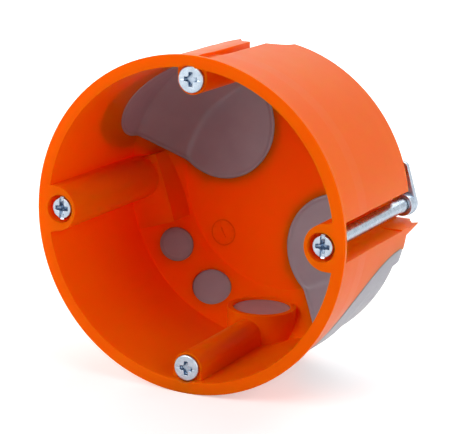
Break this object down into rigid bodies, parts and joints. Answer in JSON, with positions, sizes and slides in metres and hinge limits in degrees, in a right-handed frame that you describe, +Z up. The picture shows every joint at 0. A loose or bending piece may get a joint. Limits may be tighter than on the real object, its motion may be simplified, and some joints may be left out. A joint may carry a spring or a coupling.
{
  "type": "drywall back box",
  "caption": "Round hollow-wall box for a wiring device, with a thin rim flange, soft cable entries, device screws and turning claws on long screws.",
  "frame": {"origin": "centre of the rim flange's back face, on the wall surface and the box axis", "axes": "+Y along the box axis into the wall, +Z up, +X to the right seen from the room"},
  "size_m": [0.07, 0.0455, 0.07],
  "materials": {
    "orange_plastic": "satin",
    "grey_soft": "matte",
    "zinc_steel": "zinc plated"
  },
  "bodies": {
    "box": {"box_body": "orange_plastic", "membrane_upper": "grey_soft", "membrane_lower": "grey_soft", "membrane_socket_upper": "grey_soft", "membrane_socket_lower": "grey_soft", "membrane_cable_left_a": "grey_soft", "membrane_cable_left_b": "grey_soft", "membrane_cable_right_a": "grey_soft", "membrane_cable_right_b": "grey_soft"},
    "device_screw_upper": {"device_screw_upper": "zinc_steel"},
    "device_screw_lower": {"device_screw_lower": "zinc_steel"},
    "claw_screw_right": {"claw_screw_right": "zinc_steel"},
    "claw_screw_left": {"claw_screw_left": "zinc_steel"},
    "claw_right": {"claw_right": "zinc_steel"},
    "claw_left": {"claw_left": "zinc_steel"}
  },
  "joints": [
    {"name": "device_screw_upper_turn", "type": "hinge", "parent": "box", "child": "device_screw_upper", "pos_m": [0, 0, 0.03], "axis": [0, 1, 0], "continuous": true},
    {"name": "device_screw_lower_turn", "type": "hinge", "parent": "box", "child": "device_screw_lower", "pos_m": [0, 0, -0.03], "axis": [0, 1, 0], "continuous": true},
    {"name": "claw_screw_right_turn", "type": "hinge", "parent": "box", "child": "claw_screw_right", "pos_m": [0.0298, 0, 0], "axis": [0, 1, 0], "continuous": true},
    {"name": "claw_screw_left_turn", "type": "hinge", "parent": "box", "child": "claw_screw_left", "pos_m": [-0.0298, 0, 0], "axis": [0, 1, 0], "continuous": true},
    {"name": "claw_right_swing", "type": "hinge", "parent": "box", "child": "claw_right", "pos_m": [0.0298, 0.043, 0], "axis": [0, 1, 0], "range_deg": [0, 112]},
    {"name": "claw_left_swing", "type": "hinge", "parent": "box", "child": "claw_left", "pos_m": [-0.0298, 0.043, 0], "axis": [0, 1, 0], "range_deg": [0, 112]}
  ]
}
